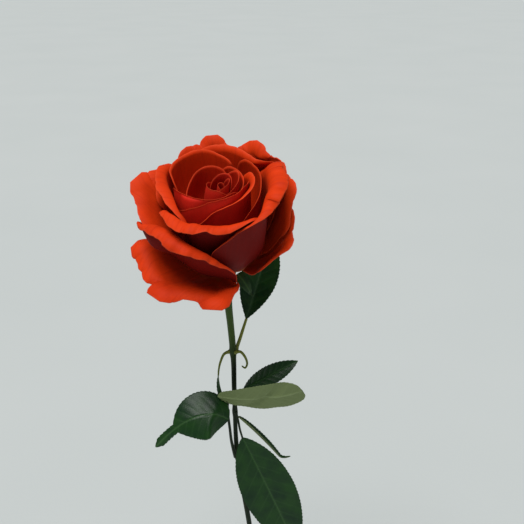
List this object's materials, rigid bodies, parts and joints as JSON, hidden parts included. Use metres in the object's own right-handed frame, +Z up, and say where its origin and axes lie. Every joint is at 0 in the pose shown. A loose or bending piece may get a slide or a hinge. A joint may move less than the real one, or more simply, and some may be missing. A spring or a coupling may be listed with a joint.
{
  "type": "rose in a bud vase",
  "caption": "Open red rose on a thin leafy stem, leaning in a tall-necked round-bellied ceramic bud vase that stands on its flat foot.",
  "frame": {"origin": "middle of the vase's flat foot, on the surface it stands on", "axes": "+Z up; -Y is the front, the side the bloom nods towards; +X is to the right seen from the front"},
  "size_m": [0.1083, 0.0961, 0.4529],
  "materials": {
    "petal": "soft velvety orange-red, deep maroon in the folds",
    "leaf": "dark green, waxy semi-gloss upper face",
    "leaf_underside": "matt olive grey-green under face",
    "stem": "satin dark green bark",
    "young_stalk": "satin olive green",
    "vase": "plain pale glossy glaze"
  },
  "bodies": {
    "root": {"petal_01": "petal", "petal_02": "petal", "petal_03": "petal", "petal_04": "petal", "petal_05": "petal", "petal_06": "petal", "petal_07": "petal", "petal_08": "petal", "petal_09": "petal", "petal_10": "petal", "petal_11": "petal", "petal_12": "petal", "petal_13": "petal", "petal_14": "petal", "petal_15": "petal", "petal_16": "petal", "petal_17": "petal", "petal_18": "petal", "petal_19": "petal", "petal_20": "petal", "petal_21": "petal", "petal_22": "petal", "petal_23": "petal", "petal_24": "petal", "sepal_1": "leaf", "sepal_2": "leaf", "sepal_3": "leaf", "sepal_4": "leaf", "sepal_5": "leaf", "upper_leaf": "leaf", "strip_leaflet": "leaf", "left_leaflet": "leaf", "end_leaflet": "leaf", "right_leaflet": "leaf", "big_leaf": "leaf", "pale_leaflet": "leaf_underside", "stem": "stem", "hip": "stem", "lower_rachis": "stem", "big_leaf_petiole": "stem", "upper_petiole": "young_stalk", "left_stipule": "young_stalk", "right_stipule": "young_stalk", "vase": "vase"}
  },
  "joints": []
}
